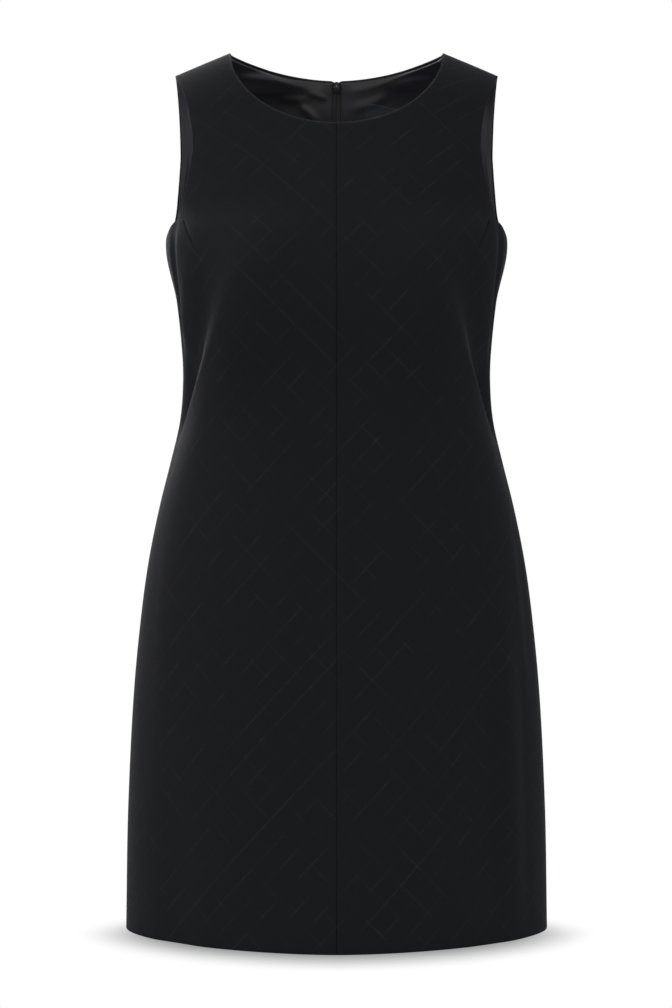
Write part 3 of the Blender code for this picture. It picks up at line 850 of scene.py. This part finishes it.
def lining_lifts(grid):
    """The lining lies off the cloth, and comes down to it at its sewn edges."""
    sewn = np.zeros(grid.across.shape)
    for step, share in ((3, 0.35), (2, 0.75), (1, 1.0)):
        sewn[-step, :] = share
        sewn[LINING_ROWS:, -step] = np.maximum(sewn[LINING_ROWS:, -step], share)
    beyond_tape = ease((grid.across * ring_length("back", grid.level) - 0.013) / 0.006)
    outer = LINING_LIFT + (LINING_EDGE_LIFT - LINING_LIFT) * sewn * beyond_tape
    return outer, outer - LINING_CLOTH + (LINING_CLOTH - LINING_EDGE_CLOTH) * sewn


grid = panel_grid("back", LINING_HEM, lining_edge, LINING_COLUMNS, LINING_ROWS, FAN_ROWS, LINING_MARGIN)
lifts = lining_lifts(grid)
for node, side in (("lining_back_right", RIGHT), ("lining_back_left", LEFT)):
    shell = layer_shell("back", side, grid, lifts, (0.0002,) * 4, LINING_FOLDS, LINING_COLUMNS[0])
    made = piece_from(node.replace("lining_back", "back_lining"), [shell], satin_finish)
    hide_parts(node)

# %% [markdown]
# ## The zip's tapes
# Each half of the zip is sewn to a tape between the dress and its lining.  The tape is woven in a fine
# herringbone, which a bump can show on a plain strip.

# %% Tapes
TAPE_HALF_WIDTH = 0.013
TAPE_LIFTS = (-0.0003, -0.0009)
NECK_LEVEL = NECK_LEVELS["back"]
TAPE_TOP = NECK_LEVEL - 0.0002


def tape_weave():
    cloth = Finish("tape_weave", (0.02, 0.02, 0.022), Roughness=0.75, Specular_IOR_Level=0.3)
    u, v = cloth.flat_place()
    distance = u.math("ABSOLUTE")
    stripe = distance / 0.0026
    chevron = stripe.math("PINGPONG", stripe, 1.0)
    ribs = (v + chevron * 0.0008).waves(0.0008)
    shade = cloth.noise(cloth.vector(u * 900, v * 300))
    ground = cloth.mix(0.5 * ribs + 0.5 * shade, (0.024, 0.024, 0.0258), (0.036, 0.036, 0.0385))
    # Painted shadow: the tape is darker more than about 4 mm from the centre, where the lining's folded edge
    # shades it.
    cloth.feed(Base_Color=cloth.mix(distance.rises(0.0034, 0.0046), ground, (0.007, 0.007, 0.008)))
    cloth.feed(Normal=cloth.bump(ribs + distance.waves(0.0013) * 0.5, 0.00012, 0.7))
    cloth.feed(Roughness=0.68 + 0.14 * shade)
    return cloth.owner


def strip_grid(outs, levels):
    """A grid across a strip, from distances off the centre line, and up it."""
    across = outs / ring_length("back", levels[:, None])
    return Grid(across, levels[:, None] + 0 * across)


tape_finish = tape_weave()
tape_levels = np.linspace(ZIP_END, TAPE_TOP, 206)
tape_share = np.linspace(0, 1, 9)
near_edge = zip_edge(tape_levels, NECK_LEVEL)[:, None]
across, level = strip_grid(near_edge + (TAPE_HALF_WIDTH - near_edge) * tape_share, tape_levels)
shoulder = ease((across * ring_length("back", level) - 0.0018) / 0.0012)
grid = Grid(across, level - 0.002 * shoulder * ease((level - TAPE_TOP) / 0.006 + 1))
for word, side in SIDES.items():
    shell = layer_shell("back", side, grid, TAPE_LIFTS, (0.0003,) * 4)
    made = piece_from("zip_tape_woven_" + word, [shell], tape_finish)
    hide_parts("zip_tape_" + word)
print("tapes:", round(TAPE_TOP - ZIP_END, 3), "m long")

# %% [markdown]
# ## The coil
# A dress zip has no teeth: each side is one nylon thread wound into a long coil, and the two mesh half a turn
# apart.  A Screw modifier can't follow the back, so a tube is swept along a line that winds up it.

# %% Tubes along a line
def tube(line, radius, sides, aside):
    """A round tube along a line.  aside is a direction at each point, never along the line."""
    along = np.gradient(line, axis=0)
    along /= np.linalg.norm(along, axis=1, keepdims=True)
    first = aside - np.sum(aside * along, axis=1, keepdims=True) * along
    first /= np.linalg.norm(first, axis=1, keepdims=True)
    second = np.cross(along, first)
    turns = 2 * math.pi * np.arange(sides) / sides
    spokes = np.cos(turns)[:, None] * first[:, None] + np.sin(turns)[:, None] * second[:, None]
    points = (line[:, None] + radius * spokes).reshape(-1, 3)
    ring = np.arange(sides)
    start = sides * np.arange(len(line) - 1)[:, None]
    after = (ring + 1) % sides
    faces = np.stack([start + ring, start + after, start + sides + after, start + sides + ring], axis=-1)
    ends = [ring[::-1].tolist(), (ring + sides * (len(line) - 1)).tolist()]
    return Shell(points, faces.reshape(-1, 4).tolist() + ends, None)


COIL_PITCH = 0.0013
COIL_THREAD = 0.00022
COIL_AXIS = 0.0009
COIL_HALF = (0.001, 0.00042)
COIL_LIFT = -0.002
COIL_STEPS = 9
SLIDER_SIZE = (0.0064, 0.0032, 0.0086)
slider_low = NECK_LEVEL - SLIDER_BELOW_NECK - SLIDER_SIZE[2] / 2


def nylon():
    thread = Finish("nylon_coil", (0.028, 0.028, 0.03), Roughness=0.4, Specular_IOR_Level=0.5)
    shade = thread.noise(thread.object_place(), 700, 2)
    thread.feed(Base_Color=thread.mix(shade, (0.022, 0.022, 0.024), (0.034, 0.034, 0.037)))
    thread.feed(Roughness=0.34 + 0.14 * shade, Normal=thread.bump(shade, 0.00003, 0.4))
    return thread.owner


def centre_line(low, top, lift):
    """Points up the centre back, the directions out of it there, and the length run."""
    levels = np.linspace(low, top, int((top - low) / 0.0001))
    points, higher = (surface_points("back", LEFT, 0 * levels, levels, lift + rise) for rise in (0, 0.001))
    return points, (higher - points) / 0.001, run_along(points)


def coil(side):
    """One half of the zip: a thread wound round an axis beside the centre line."""
    points, outs, run = centre_line(ZIP_END + 0.004, slider_low + 0.001, COIL_LIFT)
    turns = int(run[-1] / COIL_PITCH)
    wound = np.linspace(0, turns, turns * COIL_STEPS + 1)
    base, out = (
        np.stack([np.interp(wound * COIL_PITCH, run, values) for values in table.T], axis=1)
        for table in (points, outs)
    )
    turn = 2 * math.pi * wound + (math.pi if side == LEFT else 0)
    across = np.array([1.0, 0, 0])
    spoke = np.cos(turn)[:, None] * COIL_HALF[0] * across + np.sin(turn)[:, None] * COIL_HALF[1] * out
    return tube(base + side * COIL_AXIS * across + spoke, COIL_THREAD, 5, spoke)


coils = piece_from("zip_coils", [coil(RIGHT), coil(LEFT)], nylon())
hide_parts("zip_chain")
print("coils:", len(coils.data.polygons), "faces")

# %% [markdown]
# ## Slider and pull
# The slider is enamelled zinc: two plates round the coils, a post that parts them, and a bridge through the
# slit that carries the pull.  Each is a filled curve with a bevel, rounder at its edges than a box.  They are
# drawn flat and turned onto the lean of the back.

# %% Plates
PIN_OFF_FORM = 0.0036
ENAMEL_EDGE = 0.00022


def circle(radius, steps, centre=(0.0, 0.0), start=0.0, end=2 * math.pi):
    """Points of a circle, or of an arc of it, which leaves out the last one."""
    turns = [start + (end - start) * step / steps for step in range(steps)]
    return [(centre[0] + radius * math.cos(turn), centre[1] + radius * math.sin(turn)) for turn in turns]


def rectangle(left, right, low, high):
    return [(left, low), (right, low), (right, high), (left, high)]


def plate(splines, thickness, place):
    """A bevelled plate through outlines and holes, at a place."""
    curve = bpy.data.curves.new("plate", "CURVE")
    curve.dimensions = "2D"
    curve.fill_mode = "BOTH"
    curve.extrude = thickness / 2 - ENAMEL_EDGE
    curve.bevel_depth = ENAMEL_EDGE
    curve.bevel_resolution = 2
    curve.offset = -ENAMEL_EDGE
    for points in splines:
        spline = curve.splines.new("POLY")
        spline.points.add(len(points) - 1)
        for point, (x, y) in zip(spline.points, points):
            point.co = (x, y, 0, 1)
        spline.use_cyclic_u = True
    holder = bpy.data.objects.new("plate", curve)
    mesh = bpy.data.meshes.new_from_object(holder)
    shape = bmesh.new()
    shape.from_mesh(mesh)
    bmesh.ops.remove_doubles(shape, verts=shape.verts, dist=0.00001)
    shape.verts.index_update()
    points = np.array([place @ vertex.co for vertex in shape.verts])
    faces = [[vertex.index for vertex in face.verts] for face in shape.faces]
    shape.free()
    bpy.data.objects.remove(holder)
    bpy.data.curves.remove(curve)
    bpy.data.meshes.remove(mesh)
    return Shell(points, faces, None)


def enamel():
    paint = Finish("black_enamel", (0.01, 0.01, 0.011), Roughness=0.3, Specular_IOR_Level=0.32,
                   Coat_Roughness=0.15)
    speck = paint.noise(paint.object_place(), 1400, 3)
    worn = paint.noise(paint.object_place(), 500, 2).rises(0.62, 0.75)
    paint.feed(Base_Color=paint.mix(worn * 0.5, (0.009, 0.009, 0.01), (0.045, 0.044, 0.043)))
    paint.feed(Roughness=0.24 + 0.2 * speck, Metallic=worn * 0.5, Coat_Weight=0.22 - 0.2 * worn)
    paint.feed(Normal=paint.bump(speck, 0.00002, 0.4))
    return paint.owner


def lean_of(level, reach, start_lift, end_lift):
    """How far a line down the centre back leans out, between two heights off the inner face."""
    levels = (level, level - reach)
    start, end = surface_points("back", LEFT, (0, 0), levels, (start_lift, end_lift))
    return math.atan2(end[1] - start[1], start[2] - end[2])


enamel_finish = enamel()
pin_level = NECK_LEVEL - SLIDER_BELOW_NECK
pin_point = surface_points("back", LEFT, 0, pin_level, PIN_OFF_FORM)
pin_lean = lean_of(pin_level + SLIDER_SIZE[2] / 2, SLIDER_SIZE[2], 0, 0)
pin = Matrix.Translation((0, *pin_point[1:])) @ Matrix.Rotation(pin_lean, 4, "X")
print("the pin leans", round(math.degrees(pin_lean), 1), "degrees")

# %% The slider
PLATE_THICKNESS = 0.0007
SHIELD = [(0.72, -1), (0.86, -0.2), (1, 0.35), (0.9, 0.8), (0.45, 1)]
body_middle = -(PIN_OFF_FORM + 0.0016 + SLIDER_SIZE[1] / 2)
plate_shift = (SLIDER_SIZE[1] - PLATE_THICKNESS) / 2
half_width, half_height = SLIDER_SIZE[0] / 2, SLIDER_SIZE[2] / 2


def at_pin(x, y, z, *axes):
    """A place by the pin, where a flat drawing is turned a quarter about each axis."""
    place = pin @ Matrix.Translation((x, y, z))
    for axis in axes:
        place = place @ Matrix.Rotation(math.pi / 2, 4, axis)
    return place


shield = [(-0.72, -1), *SHIELD, (0, 0.86), *((-x, y) for x, y in SHIELD[:0:-1])]
shield = [(x * half_width, y * half_height) for x, y in shield]
post = [(0, -0.001), (0.001, 0.0012), (0.0012, 0.0026), (0, 0.0034), (-0.0012, 0.0026), (-0.001, 0.0012)]
flange = rectangle(-0.72 * half_height, 0.3 * half_height, -0.0005, 0.0005)
bridge = circle(0.0021, 16, start=-math.pi / 2, end=math.pi / 2)
bridge += [(0, 0.0021), (body_middle + 0.0012, 0.0021), (body_middle + 0.0012, -0.0021)]
slider_parts = []
for shift in (-plate_shift, plate_shift):
    slider_parts.append(plate([shield], PLATE_THICKNESS, at_pin(0, body_middle + shift, 0, "X")))
slider_parts.append(plate([post], SLIDER_SIZE[1] - 0.0004, at_pin(0, body_middle, 0, "X")))
for side in (RIGHT, LEFT):
    for shift in (-0.0011, 0.0011):
        place = at_pin(side * 0.8 * half_width, body_middle + shift, 0, "Y")
        slider_parts.append(plate([flange], 0.0008, place))
slider_parts.append(plate([bridge, circle(0.00115, 14)], 0.0013, at_pin(0, 0, 0, "Z", "X")))
slider = piece_from("zip_slider_cast", slider_parts, enamel_finish)
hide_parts("zip_slider")
print("slider parts:", len(slider_parts))

# %% The pull
PULL_LENGTH = 0.021
PULL_THICKNESS = 0.0012
PULL_END = 0.0031
PULL_TOP = 0.0019
PULL_BAR = 0.0011
end_centre = (0, PULL_END - PULL_LENGTH)
outline = circle(PULL_END, 24, end_centre, math.pi, 2 * math.pi) + [(PULL_END, end_centre[1])]
for step in range(9):
    share = step / 8
    out = PULL_END + (PULL_TOP - PULL_END) * float(ease(share))
    outline.append((out, end_centre[1] * (1 - share) + PULL_BAR / 6 * share))
corner = PULL_BAR / 3
outline += [(PULL_TOP - corner, PULL_BAR / 2), (corner - PULL_TOP, PULL_BAR / 2)]
outline += [(-x, y) for x, y in outline[-3:24:-1]]
window = rectangle(-0.001, 0.001, -PULL_BAR / 2, -PULL_BAR / 2 - 0.004)
raised = circle(PULL_END * 0.62, 20, end_centre)
pull_lean = lean_of(pin_level, PULL_LENGTH, PIN_OFF_FORM, CLOTH + GAP + PULL_THICKNESS / 2)
pull_place = Matrix.Translation(pin.translation) @ Matrix.Rotation(math.pi / 2 + pull_lean, 4, "X")
pull_parts = [plate([outline, window], PULL_THICKNESS * 0.84, pull_place)]
pull_parts.append(plate([raised], PULL_THICKNESS, pull_place))
pull = piece_from("zip_pull_drop", pull_parts, enamel_finish, "pull")
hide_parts("zip_pull")
print("the pull leans", round(math.degrees(pull_lean), 1), "degrees")

# %% [markdown]
# ## The label
# A bare ribbon is sewn to the lining beside the zip.  It follows the lining's wrinkles, because it is
# stitched down at both ends.

# %% Ribbon and its stitches
LABEL_NEAR, LABEL_FAR = 0.0306, 0.0677
LABEL_HEIGHT = 0.024
LABEL_TOP = level_of((LABEL_NEAR + LABEL_FAR) / 2, -0.041)
LABEL_LIFTS = (-0.0029, -0.0034)
STITCH = 0.0016
STITCH_RISE = 0.00028
THREAD_RADIUS = 0.00012
LABEL_SEAM = 0.0015
LABEL_STITCHES = 12


def ribbon():
    cloth = Finish("ribbon", (0.03, 0.03, 0.036), Roughness=0.5, Specular_IOR_Level=0.4,
                   Sheen_Weight=0.15, Sheen_Roughness=0.4, Sheen_Tint=(0.8, 0.85, 1.0, 1))
    u, v = cloth.flat_place()
    twill = (u + v * 0.7).waves(0.00055)
    fibre = cloth.noise(cloth.vector(u * 2400, v * 400))
    shade = 0.5 * twill + 0.5 * fibre
    cloth.feed(Base_Color=cloth.mix(shade, (0.0075, 0.0088, 0.0125), (0.0135, 0.0152, 0.0208)))
    cloth.feed(Normal=cloth.bump(twill, 0.00006, 0.6), Roughness=0.42 + 0.16 * fibre)
    return cloth.owner


def sewing_thread():
    thread = Finish("sewing_thread", (0.012, 0.012, 0.014), Roughness=0.6, Specular_IOR_Level=0.4)
    ply = thread.noise(thread.object_place(), 2500, 2)
    thread.feed(Base_Color=thread.mix(ply, (0.01, 0.01, 0.012), (0.024, 0.024, 0.028)))
    thread.feed(Roughness=0.5 + 0.2 * ply)
    return thread.owner


def stitches(name, places, lift, folds):
    """Small raised stitches between pairs of places, each a distance across and a level."""
    parts = []
    share = np.linspace(0, 1, 7)
    rise = lift - STITCH_RISE * np.sin(math.pi * share)
    for start, end in places:
        level = start[1] + (end[1] - start[1]) * share
        distance = start[0] + (end[0] - start[0]) * share
        side = 1 if distance[0] > 0 else -1
        across = np.abs(distance) / ring_length("back", level)
        line = surface_points("back", side, across, level, rise, folds)
        higher = surface_points("back", side, across, level, rise + 0.001, folds)
        parts.append(tube(line, THREAD_RADIUS, 6, higher - line))
    piece_from(name, parts, thread_finish)
    print(name + ":", len(places))


label_levels = np.linspace(LABEL_TOP - LABEL_HEIGHT, LABEL_TOP, 17)
grid = strip_grid(np.linspace(LABEL_NEAR, LABEL_FAR, 25)[None, :], label_levels)
shell = layer_shell("back", LEFT, grid, LABEL_LIFTS, (0.00025,) * 4, LINING_FOLDS)
label = piece_from("ribbon_label", [shell], ribbon())
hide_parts("label")
thread_finish = sewing_thread()
places = []
for distance in (LABEL_NEAR + LABEL_SEAM, LABEL_FAR - LABEL_SEAM):
    for step in range(LABEL_STITCHES):
        level = LABEL_TOP - 0.001 - step * (LABEL_HEIGHT - 0.0016) / LABEL_STITCHES
        places.append(((distance, level), (distance, level - STITCH * 0.8)))
stitches("label_stitches", places, LABEL_LIFTS[1] + 0.00005, LINING_FOLDS)

# %% Zip stops and bar tack
def across_zip(near, far, count, first_level, step):
    """Places of short stitches across the zip, on both of its sides."""
    levels = [first_level + step * index for index in range(count)]
    return [((side * near, level), (side * far, level)) for side in (RIGHT, LEFT) for level in levels]


stops = across_zip(0.0016, 0.0034, 5, NECK_LEVEL - 0.0016, -0.00035)
tack = across_zip(0.0002, 0.0036, 6, ZIP_END + 0.003, 0.0004)
stitches("zip_top_stops", stops, TAPE_LIFTS[1] - 0.0001, FOLDS)
stitches("zip_bar_tack", tack, TAPE_LIFTS[1] - 0.0001, FOLDS)

# %% [markdown]
# ## Floor, light and camera
# A white floor and a white sky stand in for a studio.  The floor glows so that it stays white, but then it
# takes no shadow, so a formula darkens it under the hem in rings of the hem's shape.  Two weak, soft lights
# put more gleam on the dress's right.

# %% Floor and light
FLOOR = HEM - 0.006
FAR = 60
SHADOW_HALF = (0.221, 0.137)
SHADOW_SQUARE = 1.75
LAMP_SIZE = (0.8, 1.6)
LAMP_AIM = (0, 0, -0.4)
SKY_FROM = (0.26, 0.9)
SHADOW_EDGES = (-0.045, 0.056)


def stage_floor():
    """A glowing white floor with a soft dark patch under the hem."""
    shape = bpy.data.meshes.new("studio_floor")
    corners = rectangle(-FAR, FAR, -FAR, FAR)
    shape.from_pydata([(x, y, FLOOR) for x, y in corners], [], [(0, 1, 2, 3)])
    floor = bpy.data.objects.new("studio_floor", shape)
    bpy.context.scene.collection.objects.link(floor)
    paper = Finish("studio_paper", (0, 0, 0), Roughness=0.9, Specular_IOR_Level=0, Emission_Strength=1.0)
    x, y, _ = paper.parts(paper.object_place())
    out, fore = (value.math("ABSOLUTE") / half for value, half in zip((x, y), SHADOW_HALF))
    rings = (out ** SHADOW_SQUARE + fore ** SHADOW_SQUARE) ** (1 / SHADOW_SQUARE)
    beyond = (x * x + y * y).math("SQRT") * (1 - 1 / rings)
    paper.feed(Emission_Color=paper.mix(beyond.rises(*SHADOW_EDGES), (0.3, 0.3, 0.305), (1, 1, 1)))
    shape.materials.append(paper.owner)


def soft_light(name, place, power):
    """A rectangular soft light that points at the dress's waist."""
    data = bpy.data.lights.new(name, "AREA")
    data.shape = "RECTANGLE"
    data.size, data.size_y = LAMP_SIZE
    data.energy = power
    lamp = bpy.data.objects.new(name, data)
    lamp.location = place
    lamp.rotation_euler = (Vector(LAMP_AIM) - Vector(place)).to_track_quat("-Z", "Y").to_euler()
    bpy.context.scene.collection.objects.link(lamp)


def studio_sky():
    """An even white world, a little brighter overhead and dimmer at the dress's left."""
    sky = Finish("white_studio", (1, 1, 1), world=True)
    x, _, z = sky.parts(sky.node("ShaderNodeTexCoord"))
    dimmed = sky.node("ShaderNodeMapRange", None, (x, *SKY_FROM, 1.0, 0.6))
    brightened = sky.node("ShaderNodeMapRange", None, (z, *SKY_FROM, 1.0, 1.75))
    sky.feed(Strength=dimmed * brightened)
    return sky.owner


stage_floor()
soft_light("side_light", (-1.9, 0.2, 1.5), 22)
soft_light("rim_light", (-1.6, 1.8, 1.1), 72)
bpy.context.scene.world = studio_sky()
bpy.context.scene.view_settings.view_transform = "Standard"
print("floor at", FLOOR)

# %% The camera
camera_data = bpy.data.cameras.new("camera")
camera_data.lens = 76.5
camera_data.sensor_fit = "VERTICAL"
camera_data.sensor_height = 36
camera_data.shift_x = -0.0006
camera = bpy.data.objects.new("camera", camera_data)
camera.location = (0, -2.25, CHECK_LEVEL)
camera.rotation_euler = (math.pi / 2, 0, 0)
bpy.context.scene.collection.objects.link(camera)
bpy.context.scene.camera = camera
print("camera lens:", camera_data.lens, "mm")
